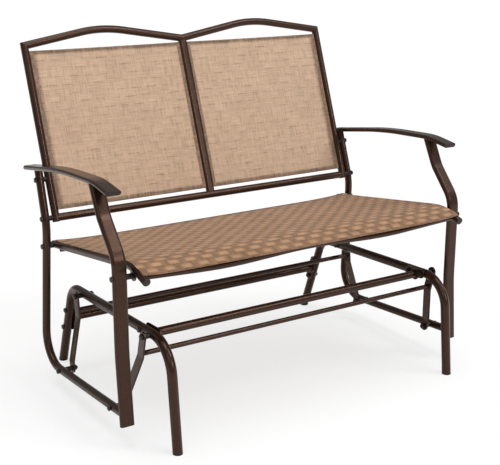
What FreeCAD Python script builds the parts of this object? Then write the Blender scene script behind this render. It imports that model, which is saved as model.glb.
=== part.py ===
import FreeCAD, Part
import math
import os

# Two-seat glider bench. Millimetres, +Z up, the bench faces -Y, the floor is Z = 0.
# "left" is -X, the left side of someone who looks at the front of the bench.
# Every y below is counted backwards from the line of the front feet;
# save() moves the finished pieces so that the middle of the depth is Y = 0.
V = FreeCAD.Vector

# Placing, and the sizes of the blocks that only cut
front_feet_to_middle = 364.7
far = 2000.0
past_floor = 25.0
cut_margin = 1.0

# How near two measured places are taken to be the same
near = 0.01

# Half widths, each set from its neighbour further out
side_x = 521.0
armrest_inset = 2.5
seat_rail_inset = 36.0
back_inset = 38.0
link_foot_inset = 30.5
link_joggle = 29.0
link_stand_off = 28.5
armrest_x = side_x - armrest_inset
seat_rail_x = side_x - seat_rail_inset
back_half_width = side_x - back_inset
link_foot_x = side_x - link_foot_inset
link_top_x = link_foot_x - link_joggle
base_half_width = link_top_x - link_stand_off

# Base: two bent side frames, two crossbars
base_tube = 25.0
base_wall = 1.5
rail_front_z = 268.0
rail_fall = 0.035
front_leg_lean = 0.10
rear_leg_lean = 0.378
rear_foot_y = 685.0
base_front_bend = 85.0
base_rear_bend = 62.0
foot_pad = 5.0

crossbar_tube = 22.0
crossbar_wall = 1.2
front_crossbar_y = 134.0
front_crossbar_drop = 6.0
front_tab_bolt_y = 160.0
rear_crossbar_z = 146.0
rear_tab_pitch = 60.0
tab_width = 26.0
tab_bulge = 32.0
tab_thick = 3.0

# Swing links and their pivots
link_length = 195.0
link_front_lean = 15.4
link_rear_lean = 6.2
front_pivot_y = 109.0
rear_pivot_y = 500.0
link_width = 26.0
link_thick = 5.0
joggle_top = 58.0
joggle_foot = 20.0
link_rod = 13.0
front_rod_below_pivot = 50.0
rear_rod_below_pivot = 38.0

# Fasteners and bushes
bolt = 8.0
bolt_head = 14.0
bolt_head_high = 5.0
bolt_head_round = 3.0
blind_depth = 5.0
nut_high = 6.0
nut_flats = 13.0
nut_spare = 3.0
bush_wall = 1.5
bush_flange = 1.0
bush_rim = 2.0
running_fit = 0.05
open_pivot_play = 1.5
pivot_gap = 0.3
bolt_fit = 0.05
spacer_wall = 3.0

# Seat side: rear tube, front arm leg, armrest
side_tube = 22.0
side_wall = 1.2
side_lean = 1.5
rail_bend = 82.0
upright_foot_y = 591.0
upright_knee_y = 560.0
upright_knee_z = 442.0
upright_knee_bend = 160.0
upright_rake = 0.32
upright_top_z = 596.0
leg_wide = 37.0
leg_thick = 15.0
oval_wall = 2.0
leg_foot_y = 88.0
leg_below_pivot = 16.7
leg_bow_y = 102.0
leg_bow_z = 240.0
leg_bow = 600.0
leg_bend_low_y = 101.5
leg_bend_low_z = 474.0
leg_bend_high_y = 174.0
leg_bend_high_z = 558.0
leg_top_y = 211.0
leg_top_z = 632.0
leg_bend_low = 75.0
leg_bend_high = 95.0
armrest_wide = 40.0
armrest_thick = 12.0
armrest_rear_y = 630.0
armrest_rear_z = 593.5
armrest_crown_y = 395.0
armrest_crown_z = 628.5
armrest_crown_bend = 1500.0
armrest_droop_y = 200.0
armrest_droop_z = 637.0
armrest_droop_bend = 300.0
armrest_tip_y = 125.0
armrest_tip_z = 625.0

# Seat frame and sling
seat_tube = 20.0
seat_rail_rear_y = 580.0
seat_rail_rear_z = 385.6
seat_rail_crest_y = 105.0
seat_rail_crest_z = 451.0
seat_rail_front_y = 36.0
seat_rail_front_z = 430.0
seat_rail_bend = 150.0
seat_cross_tube = 16.0
seat_front_rail_y = 72.0
seat_rear_rail_y = 535.0
cross_rail_drop = 9.0
cross_rail_dip = 12.5
cross_rail_dip_share = 0.505
cross_rail_bend = 1500.0
front_bolt_z = 428.0
ear_thick = 3.0
ear_width = 26.0
sling_thick = 1.6
sling_above_rail = 5.5
sling_reach = 5.0
seat_sling_front_y = 48.0
seat_sling_rear_y = 560.0
cap_thick = 3.0
cap_round = 1.8
cap_plug = 14.0
seat_rail_stem = 10.0

# Back frame and slings
back_tube = 21.0
back_wall = 1.0
back_rake = 0.36
back_foot_y = 561.0
back_foot_z = 463.5
back_corner_z = 904.5
back_hump_z = 942.5
back_hump_share = 0.5155
back_valley_z = 901.0
corner_bend = 0.0
hump_bend = 375.0
valley_bend = 25.0
upright_end = 8.0
upright_stem = 4.0
post_wide = 26.0
post_thick = 15.0
back_sling_below_valley = 12.0
back_sling_foot_z = 484.0
back_bolt_low_z = 463.5
back_bolt_high_z = 563.0

cross_rail_dip_x = seat_rail_x * cross_rail_dip_share
back_sling_top_z = back_valley_z - back_sling_below_valley
back_hump_x = back_half_width * back_hump_share


def rail_z(y):
    """Height of the base rail's centre line."""
    return rail_front_z - rail_fall * (y - front_pivot_y)


def rear_leg_y(z):
    """Where the rear leg of the base stands at a height."""
    return rear_foot_y - rear_leg_lean * z


def back_y(z):
    """Where the plane of the back frame stands at a height."""
    return back_foot_y + back_rake * (z - back_foot_z)


spacer_outer = bolt + 2 * spacer_wall
bolt_hole = bolt + 2 * bolt_fit
front_pivot_z = rail_z(front_pivot_y)
rear_pivot_z = rail_z(rear_pivot_y)
front_foot_pivot_y = front_pivot_y + link_length * math.sin(math.radians(link_front_lean))
front_foot_pivot_z = front_pivot_z - link_length * math.cos(math.radians(link_front_lean))
rear_foot_pivot_y = rear_pivot_y - link_length * math.sin(math.radians(link_rear_lean))
rear_foot_pivot_z = rear_pivot_z - link_length * math.cos(math.radians(link_rear_lean))
leg_foot_z = front_foot_pivot_z - leg_below_pivot
bottom_rail_rise = (front_foot_pivot_z - rear_foot_pivot_z) / (rear_foot_pivot_y - front_foot_pivot_y)


def bottom_rail_z(y):
    """Height of the seat's bottom rail, which carries both lower pivots."""
    return front_foot_pivot_z - bottom_rail_rise * (y - front_foot_pivot_y)


def upright_x(z):
    """Half width of the leaning rear tube at a height."""
    lift = z - bottom_rail_z(upright_foot_y)
    return side_x - lift * math.tan(math.radians(side_lean))


def upright_y(z):
    """Where the rear tube stands at a height."""
    if z > upright_knee_z:
        return upright_knee_y + upright_rake * (z - upright_knee_z)
    foot_z = bottom_rail_z(upright_foot_y)
    share = (z - foot_z) / (upright_knee_z - foot_z)
    return upright_foot_y + share * (upright_knee_y - upright_foot_y)


def leg_y(z):
    """Where the front arm leg stands at a height under its lower bend."""
    end_y, end_z = leg_foot_y, leg_foot_z
    if z > leg_bow_z:
        end_y, end_z = leg_bend_low_y, leg_bend_low_z
    share = (z - leg_bow_z) / (end_z - leg_bow_z)
    return leg_bow_y + share * (end_y - leg_bow_y)


bottom_rail_front_y = leg_y(front_foot_pivot_z)


def seat_rail_z(y):
    """Height of the seat side rail, which is straight behind its crest and before it."""
    end_y, end_z = seat_rail_rear_y, seat_rail_rear_z
    if y < seat_rail_crest_y:
        end_y, end_z = seat_rail_front_y, seat_rail_front_z
    share = (y - seat_rail_crest_y) / (end_y - seat_rail_crest_y)
    return seat_rail_crest_z + share * (end_z - seat_rail_crest_z)


def path(points, radii):
    """Wire along points, with each inner corner rounded to its radius, or sharp at radius 0."""
    edges = []
    start = points[0]
    for before, corner, after, radius in zip(points, points[1:], points[2:], radii):
        to_before = (before - corner).normalize()
        to_after = (after - corner).normalize()
        half = to_before.getAngle(to_after) / 2
        reach = radius / math.tan(half)
        first = corner + to_before * reach
        last = corner + to_after * reach
        inward = (to_before + to_after).normalize()
        middle = corner + inward * (radius / math.sin(half) - radius)
        if (first - start).Length > near:
            edges.append(Part.LineSegment(start, first).toShape())
        if radius > 0:
            edges.append(Part.Arc(first, middle, last).toShape())
        start = last
    edges.append(Part.LineSegment(start, points[-1]).toShape())
    return Part.Wire(edges)


def start_frame(wire):
    """Start point and direction of a wire."""
    edge = wire.OrderedEdges[0]
    first, last = edge.ParameterRange
    a = edge.valueAt(first)
    b = edge.valueAt(last)
    start = wire.OrderedVertexes[0].Point
    if (a - start).Length < (b - start).Length:
        return a, edge.tangentAt(first)
    return b, edge.tangentAt(last) * -1


def sweep(wire, section):
    """Solid of a closed section carried along a wire, mitred at sharp corners."""
    solid = wire.makePipeShell([section], True, False, 1)
    if solid.ShapeType != "Solid":
        solid = Part.makeSolid(solid)
    if solid.Volume < 0:
        solid.reverse()
    return solid


def round_bar(wire, diameter):
    """Round bar along a wire."""
    at, along = start_frame(wire)
    return sweep(wire, Part.Wire([Part.makeCircle(diameter / 2, at, along)]))


def round_tube(wire, diameter, wall):
    """Round tube along a wire."""
    return round_bar(wire, diameter).cut(round_bar(wire, diameter - 2 * wall))


def oval_section(at, along, wide, thick):
    """Flat-oval outline across a path that lies in a Y-Z plane, its wide way along X."""
    across = V(1, 0, 0)
    high = along.cross(across).normalize()
    flat = (wide - thick) / 2
    half = thick / 2
    a = at - across * flat + high * half
    b = at + across * flat + high * half
    c = at + across * flat - high * half
    d = at - across * flat - high * half
    right_nose = at + across * (flat + half)
    left_nose = at - across * (flat + half)
    return Part.Wire([
        Part.LineSegment(a, b).toShape(),
        Part.Arc(b, right_nose, c).toShape(),
        Part.LineSegment(c, d).toShape(),
        Part.Arc(d, left_nose, a).toShape(),
    ])


def oval_bar(wire, wide, thick):
    """Flat-oval bar along a wire in a Y-Z plane."""
    at, along = start_frame(wire)
    return sweep(wire, oval_section(at, along, wide, thick))


def oval_tube(wire, wide, thick, wall):
    """Flat-oval tube along a wire in a Y-Z plane."""
    inner = oval_bar(wire, wide - 2 * wall, thick - 2 * wall)
    return oval_bar(wire, wide, thick).cut(inner)


def rod_x(x0, x1, y, z, diameter):
    """Round bar along X between two places."""
    low = min(x0, x1)
    return Part.makeCylinder(diameter / 2, abs(x1 - x0), V(low, y, z), V(1, 0, 0))


def ring_x(x0, x1, y, z, outer, inner):
    """Ring along X between two places."""
    return rod_x(x0, x1, y, z, outer).cut(rod_x(x0, x1, y, z, inner))


def bolt_x(head_x, end_x, y, z):
    """Domed bolt along X: its head sits on head_x, its shank ends at end_x."""
    out = 1 if head_x > end_x else -1
    shank = rod_x(head_x, end_x, y, z, bolt)
    head = rod_x(head_x, head_x + out * bolt_head_high, y, z, bolt_head)
    rim = [e for e in head.Edges if abs(e.CenterOfMass.x - (head_x + out * bolt_head_high)) < near]
    head = head.makeFillet(bolt_head_round, rim)
    return head.fuse(shank).removeSplitter()


def nut_x(face_x, out, y, z):
    """Hexagon nut against face_x, on the side that out points to."""
    radius = nut_flats / 2 / math.cos(math.radians(30))
    corners = []
    for step in range(7):
        turn = math.radians(60 * step + 30)
        corners.append(V(face_x, y + radius * math.cos(turn), z + radius * math.sin(turn)))
    body = Part.Face(Part.makePolygon(corners)).extrude(V(out * nut_high, 0, 0))
    return body.cut(rod_x(face_x - 2 * nut_high, face_x + 2 * nut_high, y, z, bolt))


def drill(shape, x0, x1, places):
    """Bolt holes along X through a shape, at each (y, z)."""
    for y, z in places:
        shape = shape.cut(rod_x(x0, x1, y, z, bolt_hole))
    return shape


def group(shapes):
    """Like pieces in one shape, each a separate solid."""
    return Part.makeCompound([solid for shape in shapes for solid in shape.Solids])


def mirrored(shape):
    """Left-hand copy of a right-hand shape."""
    return shape.mirror(V(0, 0, 0), V(1, 0, 0))


def both(shape):
    """The right-hand shape with its left-hand mirror image."""
    return group([shape, mirrored(shape)])


def block(x0, x1, y0, y1, z0, z1):
    """Box between two corners."""
    return Part.makeBox(x1 - x0, y1 - y0, z1 - z0, V(x0, y0, z0))


def save(name, shape):
    """Write one node, moved so that the middle of the depth is Y = 0."""
    moved = shape.copy()
    moved.translate(V(0, -front_feet_to_middle, 0))
    if len(moved.Solids) == 1:
        moved = moved.Solids[0]
    if not moved.isValid():
        raise RuntimeError(name + " is not a valid shape")
    moved.exportStep("parts/" + name + ".step")
    box = moved.BoundBox
    print("%-28s %2d solids %9.0f mm3  x %.1f..%.1f y %.1f..%.1f z %.1f..%.1f" % (
        name, len(moved.Solids), moved.Volume,
        box.XMin, box.XMax, box.YMin, box.YMax, box.ZMin, box.ZMax))


def save_pair(name, right_shape):
    """Write a right-hand node and its left-hand twin."""
    save(name + "_right", right_shape)
    save(name + "_left", mirrored(right_shape))


def below(z):
    """Everything under a height."""
    return block(-far, far, -far, far, z - far, z)


def above(z):
    """Everything over a height."""
    return block(-far, far, -far, far, z, z + far)


def biggest(shape):
    """The largest solid of a shape that a cut has left in pieces."""
    return max(shape.Solids, key=lambda solid: solid.Volume)


def round_plug(end, inward, diameter, wall, stem_long=cap_plug):
    """Plug that covers a round tube's end and reaches into its bore."""
    head = Part.makeCylinder(diameter / 2, cap_thick, end - inward * cap_thick, inward)
    stem = Part.makeCylinder(diameter / 2 - wall, stem_long, end, inward)
    rim = [e for e in head.Edges if (e.CenterOfMass - (end - inward * cap_thick)).Length < near]
    return head.makeFillet(cap_round, rim).fuse(stem).removeSplitter()


def oval_plug(end, inward, wide, thick, wall):
    """Plug that covers a flat-oval tube's end and reaches into its bore."""
    head = Part.Face(oval_section(end, inward, wide, thick)).extrude(inward * -cap_thick)
    bore = oval_section(end, inward, wide - 2 * wall, thick - 2 * wall)
    return head.fuse(Part.Face(bore).extrude(inward * cap_plug)).removeSplitter()


def spacer(x0, x1, place, neighbours):
    """Spacer on a bolt from x0 to x1, shaped to the tubes that it keeps apart."""
    y, z = place
    return biggest(ring_x(x0, x1, y, z, spacer_outer, bolt_hole).cut(neighbours))


os.makedirs("parts", exist_ok=True)


# Base side frames: front leg, rail and rear leg in one bent tube

def base_frame_wire():
    """Path of a base tube, run on under the floor at both feet."""
    x = base_half_width
    low = -past_floor
    front_corner_y = front_leg_lean * rail_z(0)
    rear_corner_y = rear_leg_y(rail_z(rear_leg_y(rail_front_z)))
    points = [
        V(x, front_leg_lean * low, low),
        V(x, front_corner_y, rail_z(front_corner_y)),
        V(x, rear_corner_y, rail_z(rear_corner_y)),
        V(x, rear_leg_y(low), low),
    ]
    return path(points, [base_front_bend, base_rear_bend])


def foot_cap(foot_y, lean):
    """Plastic plug that closes a foot and stands flat on the floor."""
    along = V(0, lean, 1).normalize()
    start = V(base_half_width, foot_y - lean * past_floor, -past_floor)
    blank = past_floor + foot_pad + 2 * cap_plug
    bore = base_tube - 2 * base_wall
    head = Part.makeCylinder(base_tube / 2, blank, start, along).cut(above(foot_pad))
    stem = Part.makeCylinder(bore / 2, blank, start, along).cut(above(foot_pad + cap_plug))
    return head.fuse(stem).cut(below(0)).removeSplitter()


rear_tab_way = V(0, -rear_leg_lean, 1).normalize()
rear_crossbar_y = rear_leg_y(rear_crossbar_z)
front_crossbar_z = rail_z(front_crossbar_y) - front_crossbar_drop
upper_pivots = [(front_pivot_y, front_pivot_z), (rear_pivot_y, rear_pivot_z)]
lower_pivots = [(front_foot_pivot_y, front_foot_pivot_z), (rear_foot_pivot_y, rear_foot_pivot_z)]
front_tab_places = [upper_pivots[0], (front_tab_bolt_y, rail_z(front_tab_bolt_y))]
rear_tab_places = []
for end in (-1, 1):
    rear_tab_places.append((
        rear_crossbar_y + end * rear_tab_way.y * rear_tab_pitch / 2,
        rear_crossbar_z + end * rear_tab_way.z * rear_tab_pitch / 2,
    ))

frame_outer_x = base_half_width + base_tube / 2
frame_inner_x = base_half_width - base_tube / 2
base_wire = base_frame_wire()
base_envelope = round_bar(base_wire, base_tube)
base_side_frame = round_tube(base_wire, base_tube, base_wall).cut(below(foot_pad))
base_side_frame = drill(base_side_frame, frame_inner_x - cut_margin, frame_outer_x + cut_margin,
                        front_tab_places + rear_tab_places + [upper_pivots[1]])
save_pair("base_side_frame", base_side_frame)
save("front_foot_caps", both(foot_cap(0.0, front_leg_lean)))
save("rear_foot_caps", both(foot_cap(rear_foot_y, -rear_leg_lean)))


# Crossbars of the base, with their end plates, bolts and nuts

def tab_plate(places, bar):
    """Plate round two bolt places and a crossbar's end, on the inner side of a base tube."""
    (y0, z0), (y1, z1) = places
    x = frame_inner_x - tab_thick
    way = V(0, y1 - y0, z1 - z0).normalize()
    side = way.cross(V(1, 0, 0)) * (tab_width / 2)
    a = V(x, y0, z0)
    b = V(x, y1, z1)
    web = Part.Face(Part.makePolygon([a + side, b + side, b - side, a - side, a + side]))
    plate = web.extrude(V(tab_thick, 0, 0))
    for y, z, wide in ((y0, z0, tab_width), (y1, z1, tab_width), (bar[0], bar[1], tab_bulge)):
        plate = plate.fuse(rod_x(x, frame_inner_x, y, z, wide))
    return drill(plate.removeSplitter(), x - cut_margin, frame_inner_x + cut_margin, places)


def crossbar(y, z, places):
    """Tube between the side frames with a plate welded to each end."""
    reach = frame_inner_x - tab_thick
    wire = Part.Wire([Part.LineSegment(V(-reach, y, z), V(reach, y, z)).toShape()])
    plate = tab_plate(places, (y, z))
    return round_tube(wire, crossbar_tube, crossbar_wall).fuse([plate, mirrored(plate)])


def frame_bolts(places):
    """Bolts through a base tube and a crossbar's plate, with their nuts, on both sides."""
    nut_face_x = frame_inner_x - tab_thick
    end_x = nut_face_x - nut_high - nut_spare
    bolts = group([bolt_x(frame_outer_x, end_x, y, z) for y, z in places])
    nuts = group([nut_x(nut_face_x, -1, y, z) for y, z in places])
    return both(bolts), both(nuts)


save("base_front_crossbar", crossbar(front_crossbar_y, front_crossbar_z, front_tab_places))
save("base_rear_crossbar", crossbar(rear_crossbar_y, rear_crossbar_z, rear_tab_places))
for place, places in (("front", front_tab_places[1:]), ("rear", rear_tab_places)):
    bolts, nuts = frame_bolts(places)
    save(place + "_crossbar_bolts", bolts)
    save(place + "_crossbar_nuts", nuts)


# Upper pivots: bolts through the base rails, the front pair also through the crossbar's plates

def stack_x(link_x, out):
    """Where the next piece beside a link's bush may start."""
    return link_x + out * (link_thick / 2 + bush_flange + pivot_gap)


upper_nut_faces = [frame_inner_x - tab_thick, frame_inner_x]
upper_head_x = stack_x(link_top_x, 1)
save("upper_pivot_bolts", both(group([
    bolt_x(upper_head_x, face_x - nut_high - nut_spare, y, z)
    for face_x, (y, z) in zip(upper_nut_faces, upper_pivots)])))
save("upper_pivot_nuts", both(group([
    nut_x(face_x, -1, y, z) for face_x, (y, z) in zip(upper_nut_faces, upper_pivots)])))
save("upper_pivot_spacers", both(group([
    ring_x(base_half_width, stack_x(link_top_x, -1), y, z, spacer_outer, bolt_hole)
    .cut(base_envelope) for y, z in upper_pivots])))


# Swing arms: joggled flat links, their bushes and the rod that ties each pair

bush_outer = bolt + 2 * running_fit + 2 * bush_wall


def link(pivot, lean):
    """Flat bar from an upper pivot to a lower one, stepped outwards on the way down."""
    half = link_thick / 2
    end = link_width
    step_top = -joggle_top
    step_foot = -link_length + joggle_foot
    profile = [
        V(link_top_x - half, 0, end),
        V(link_top_x + half, 0, end),
        V(link_top_x + half, 0, step_top),
        V(link_foot_x + half, 0, step_foot),
        V(link_foot_x + half, 0, -link_length - end),
        V(link_foot_x - half, 0, -link_length - end),
        V(link_foot_x - half, 0, step_foot),
        V(link_top_x - half, 0, step_top),
        V(link_top_x - half, 0, end),
    ]
    bar = Part.Face(Part.makePolygon(profile)).extrude(V(0, link_width, 0))
    bar.translate(V(0, -link_width / 2, 0))
    outer = link_foot_x + link_width
    outline = block(0, outer, -link_width / 2, link_width / 2, -link_length, 0)
    for z in (0, -link_length):
        outline = outline.fuse(rod_x(0, outer, 0, z, link_width))
    bar = bar.common(outline.removeSplitter())
    for z in (0, -link_length):
        bar = bar.cut(rod_x(0, outer, 0, z, bush_outer))
    return hang(bar, pivot, lean)


def hang(shape, pivot, lean):
    """Turn a piece drawn straight down from the origin to its lean, and bring it to its pivot."""
    shape.rotate(V(0, 0, 0), V(1, 0, 0), lean)
    shape.translate(V(0, pivot[0], pivot[1]))
    return shape


def bush(link_x, z, play):
    """Flanged bush in a link's eye."""
    half = link_thick / 2
    body = rod_x(link_x - half, link_x + half, 0, z, bush_outer)
    for out in (-1, 1):
        face = link_x + out * half
        body = body.fuse(rod_x(face, face + out * bush_flange, 0, z, bush_outer + 2 * bush_rim))
    bore = rod_x(link_x - link_thick, link_x + link_thick, 0, z, bolt + 2 * play)
    return body.cut(bore).removeSplitter()


def link_rod_bar(below_pivot):
    """Rod that ties the two links of a swing arm."""
    reach = link_top_x - link_thick / 2
    return rod_x(-reach, reach, 0, -below_pivot, link_rod)


for arm, pivot, lean, rod_below_pivot, foot_play in (
        ("front", upper_pivots[0], link_front_lean, front_rod_below_pivot, running_fit),
        ("rear", upper_pivots[1], -link_rear_lean, rear_rod_below_pivot, open_pivot_play)):
    save_pair(arm + "_link", link(pivot, lean))
    save(arm + "_link_rod", hang(link_rod_bar(rod_below_pivot), pivot, lean))
    bushes = both(group([bush(link_top_x, 0, running_fit), bush(link_foot_x, -link_length, foot_play)]))
    save(arm + "_link_bushes", hang(bushes, pivot, lean))


# Seat side frames: armrest, front arm leg and rear tube

def lean_in(shape):
    """Lean the rear tube towards the middle of the bench."""
    shape.rotate(V(side_x, 0, bottom_rail_z(upright_foot_y)), V(0, 1, 0), -side_lean)
    return shape


armrest_points = [
    V(armrest_x, armrest_rear_y, armrest_rear_z),
    V(armrest_x, armrest_crown_y, armrest_crown_z),
    V(armrest_x, armrest_droop_y, armrest_droop_z),
    V(armrest_x, armrest_tip_y, armrest_tip_z),
]
armrest_wire = path(armrest_points, [armrest_crown_bend, armrest_droop_bend])
armrest_envelope = oval_bar(armrest_wire, armrest_wide, armrest_thick)

leg_points = [
    V(side_x, leg_foot_y, leg_foot_z),
    V(side_x, leg_bow_y, leg_bow_z),
    V(side_x, leg_bend_low_y, leg_bend_low_z),
    V(side_x, leg_bend_high_y, leg_bend_high_z),
    V(side_x, leg_top_y, leg_top_z),
]
leg_wire = path(leg_points, [leg_bow, leg_bend_low, leg_bend_high])
leg_envelope = oval_bar(leg_wire, leg_wide, leg_thick)

rear_points = [
    V(side_x, upright_y(upright_top_z), upright_top_z),
    V(side_x, upright_knee_y, upright_knee_z),
    V(side_x, upright_foot_y, bottom_rail_z(upright_foot_y)),
    V(side_x, bottom_rail_front_y, bottom_rail_z(bottom_rail_front_y)),
]
rear_wire = path(rear_points, [upright_knee_bend, rail_bend])
rear_envelope = lean_in(round_bar(rear_wire, side_tube))

rear_bolt_y = upright_y(seat_rail_z(upright_knee_y))
front_bolt_place = (leg_y(front_bolt_z), front_bolt_z)
rear_bolt_place = (rear_bolt_y, seat_rail_z(rear_bolt_y))
back_bolt_places = []
for z in (back_bolt_low_z, back_bolt_high_z):
    back_bolt_places.append(((back_y(z) + upright_y(z)) / 2, z))

rear_tube = lean_in(round_tube(rear_wire, side_tube, side_wall))
rear_tube = rear_tube.cut([armrest_envelope, leg_envelope])
rear_tube = drill(rear_tube, upright_x(upright_top_z) - side_tube, side_x + side_tube,
                  lower_pivots + [rear_bolt_place] + back_bolt_places)
arm_leg = oval_tube(leg_wire, leg_wide, leg_thick, oval_wall).cut(armrest_envelope)
arm_leg = drill(arm_leg, side_x - leg_wide, side_x + leg_wide, [front_bolt_place])
armrest = oval_tube(armrest_wire, armrest_wide, armrest_thick, oval_wall)
save_pair("rear_tube", rear_tube)
save_pair("front_arm_leg", arm_leg)
save_pair("armrest", armrest)

leg_up = (leg_points[1] - leg_points[0]).normalize()
armrest_back = (armrest_points[0] - armrest_points[1]).normalize()
armrest_fore = (armrest_points[3] - armrest_points[2]).normalize()
save("arm_leg_plugs", both(oval_plug(leg_points[0], leg_up, leg_wide, leg_thick, oval_wall)))
save("armrest_plugs", both(group([
    oval_plug(armrest_points[0], armrest_back * -1, armrest_wide, armrest_thick, oval_wall),
    oval_plug(armrest_points[3], armrest_fore * -1, armrest_wide, armrest_thick, oval_wall),
])))


# Lower pivots, carried by the rear tubes' bottom rails

save("lower_pivot_bolts", both(group([
    bolt_x(side_x + side_tube / 2, stack_x(link_foot_x, -1) - nut_high - nut_spare, y, z)
    for y, z in lower_pivots])))
save("lower_pivot_nuts", both(group([
    nut_x(stack_x(link_foot_x, -1), -1, y, z) for y, z in lower_pivots])))
save("lower_pivot_spacers", both(group([
    spacer(stack_x(link_foot_x, 1), side_x, place, [rear_envelope]) for place in lower_pivots])))


# Seat frame: side rails, cross rails, plugs and bolts

def seat_line(x, lift):
    """Path of a seat side rail, or of the cloth at a height over it."""
    points = [
        V(x, seat_rail_rear_y, seat_rail_rear_z + lift),
        V(x, seat_rail_crest_y, seat_rail_crest_z + lift),
        V(x, seat_rail_front_y, seat_rail_front_z + lift),
    ]
    return path(points, [seat_rail_bend])


def rail_ear():
    """Plate under a side rail that takes the arm leg's bolt."""
    y, z = front_bolt_place
    x = seat_rail_x - ear_thick / 2
    top = seat_rail_z(y)
    web = block(x, x + ear_thick, y - ear_width / 2, y + ear_width / 2, z, top)
    return web.fuse(rod_x(x, x + ear_thick, y, z, ear_width))


seat_rail_wire = seat_line(seat_rail_x, 0)
seat_rail_envelope = round_bar(seat_rail_wire, seat_tube)
seat_rail = round_tube(seat_rail_wire, seat_tube, side_wall).fuse(rail_ear().cut(seat_rail_envelope))
seat_rail = drill(seat_rail, seat_rail_x - ear_thick, seat_rail_x + ear_thick, [front_bolt_place])
seat_rail = drill(seat_rail, seat_rail_x, seat_rail_x + seat_tube, [rear_bolt_place])
save_pair("seat_side_rail", seat_rail)


def cross_rail(y):
    """Tube welded between the side rails, which dips under each seat."""
    high = seat_rail_z(y) - cross_rail_drop
    low = high - cross_rail_dip
    points = [
        V(-seat_rail_x, y, high),
        V(-cross_rail_dip_x, y, low),
        V(0, y, high),
        V(cross_rail_dip_x, y, low),
        V(seat_rail_x, y, high),
    ]
    tube = round_tube(path(points, [cross_rail_bend] * 3), seat_cross_tube, side_wall)
    return biggest(tube.cut([seat_rail_envelope, mirrored(seat_rail_envelope)]))


save("seat_front_rail", cross_rail(seat_front_rail_y))
save("seat_rear_rail", cross_rail(seat_rear_rail_y))


rail_crest = V(seat_rail_x, seat_rail_crest_y, seat_rail_crest_z)
rail_front = V(seat_rail_x, seat_rail_front_y, seat_rail_front_z)
rail_rear = V(seat_rail_x, seat_rail_rear_y, seat_rail_rear_z)
save("seat_rail_plugs", both(group([
    round_plug(end, (rail_crest - end).normalize(), seat_tube, side_wall + bolt_fit, seat_rail_stem)
    for end in (rail_front, rail_rear)])))

front_head_x = side_x + leg_wide / 2
front_nut_x = seat_rail_x - ear_thick / 2
rear_bolt_x = upright_x(rear_bolt_place[1])
rear_head_x = rear_bolt_x + side_tube / 2
save("seat_frame_bolts", both(group([
    bolt_x(front_head_x, front_nut_x - nut_high - nut_spare, *front_bolt_place),
    bolt_x(rear_head_x, seat_rail_x, *rear_bolt_place),
])))
save("seat_frame_nuts", both(nut_x(front_nut_x, -1, *front_bolt_place)))
save("seat_frame_spacers", both(group([
    spacer(seat_rail_x + ear_thick / 2, side_x, front_bolt_place, [leg_envelope, seat_rail_envelope]),
    spacer(seat_rail_x, rear_bolt_x, rear_bolt_place, [rear_envelope, seat_rail_envelope]),
])))


# Seat sling, held along the inner sides of the side rails

def seat_sling():
    """Cloth between the side rails, cut off before and behind the rails' ends."""
    half_width = seat_rail_x - sling_reach
    profile = seat_line(-half_width, sling_above_rail).makeOffset2D(sling_thick, 0, True, True)
    sheet = profile.extrude(V(2 * half_width, 0, 0))
    sheet = sheet.common(block(-half_width, half_width, seat_sling_front_y, seat_sling_rear_y, 0, far))
    return sheet.cut([seat_rail_envelope, mirrored(seat_rail_envelope)])


save("seat_sling", seat_sling())


# Back frame: double-humped outer tube, bottom rail, centre post

def back_point(x, z):
    """Point of the leaning plane that the back frame lies in."""
    return V(x, back_y(z), z)


upright_low_z = back_foot_z - upright_end
back_wire = path([
    back_point(back_half_width, upright_low_z),
    back_point(back_half_width, back_corner_z),
    back_point(back_hump_x, back_hump_z),
    back_point(0, back_valley_z),
    back_point(-back_hump_x, back_hump_z),
    back_point(-back_half_width, back_corner_z),
    back_point(-back_half_width, upright_low_z),
], [corner_bend, hump_bend, valley_bend, hump_bend, corner_bend])
back_envelope = round_bar(back_wire, back_tube)
back_frame = round_tube(back_wire, back_tube, back_wall)
back_frame = drill(back_frame, back_half_width, back_half_width + back_tube, back_bolt_places)
back_frame = drill(back_frame, -back_half_width - back_tube, -back_half_width, back_bolt_places)
save("back_frame_tube", back_frame)

up_back = (back_point(0, back_valley_z) - back_point(0, back_foot_z)).normalize()
upright_plugs = both(round_plug(
    back_point(back_half_width, upright_low_z), up_back, back_tube, back_wall + bolt_fit, upright_stem))
save("back_upright_plugs", upright_plugs)

bottom_ends = [back_point(-back_half_width, back_foot_z), back_point(back_half_width, back_foot_z)]
bottom_wire = Part.Wire([Part.LineSegment(*bottom_ends).toShape()])
bottom_envelope = round_bar(bottom_wire, back_tube)
bottom_rail = round_tube(bottom_wire, back_tube, back_wall).cut([back_envelope, upright_plugs])
save("back_bottom_rail", biggest(bottom_rail))

post_wire = Part.Wire([Part.LineSegment(back_point(0, back_foot_z), back_point(0, back_valley_z)).toShape()])
post_envelope = oval_bar(post_wire, post_wide, post_thick)
centre_post = oval_tube(post_wire, post_wide, post_thick, back_wall).cut([back_envelope, bottom_envelope])
save("back_centre_post", biggest(centre_post))

save("back_frame_bolts", both(group([
    bolt_x(upright_x(z) + side_tube / 2, back_half_width - blind_depth, y, z)
    for y, z in back_bolt_places])))
save("back_frame_spacers", both(group([
    spacer(back_half_width, upright_x(place[1]), place, [back_envelope, rear_envelope])
    for place in back_bolt_places])))


# Back slings, one on each side of the centre post

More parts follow.
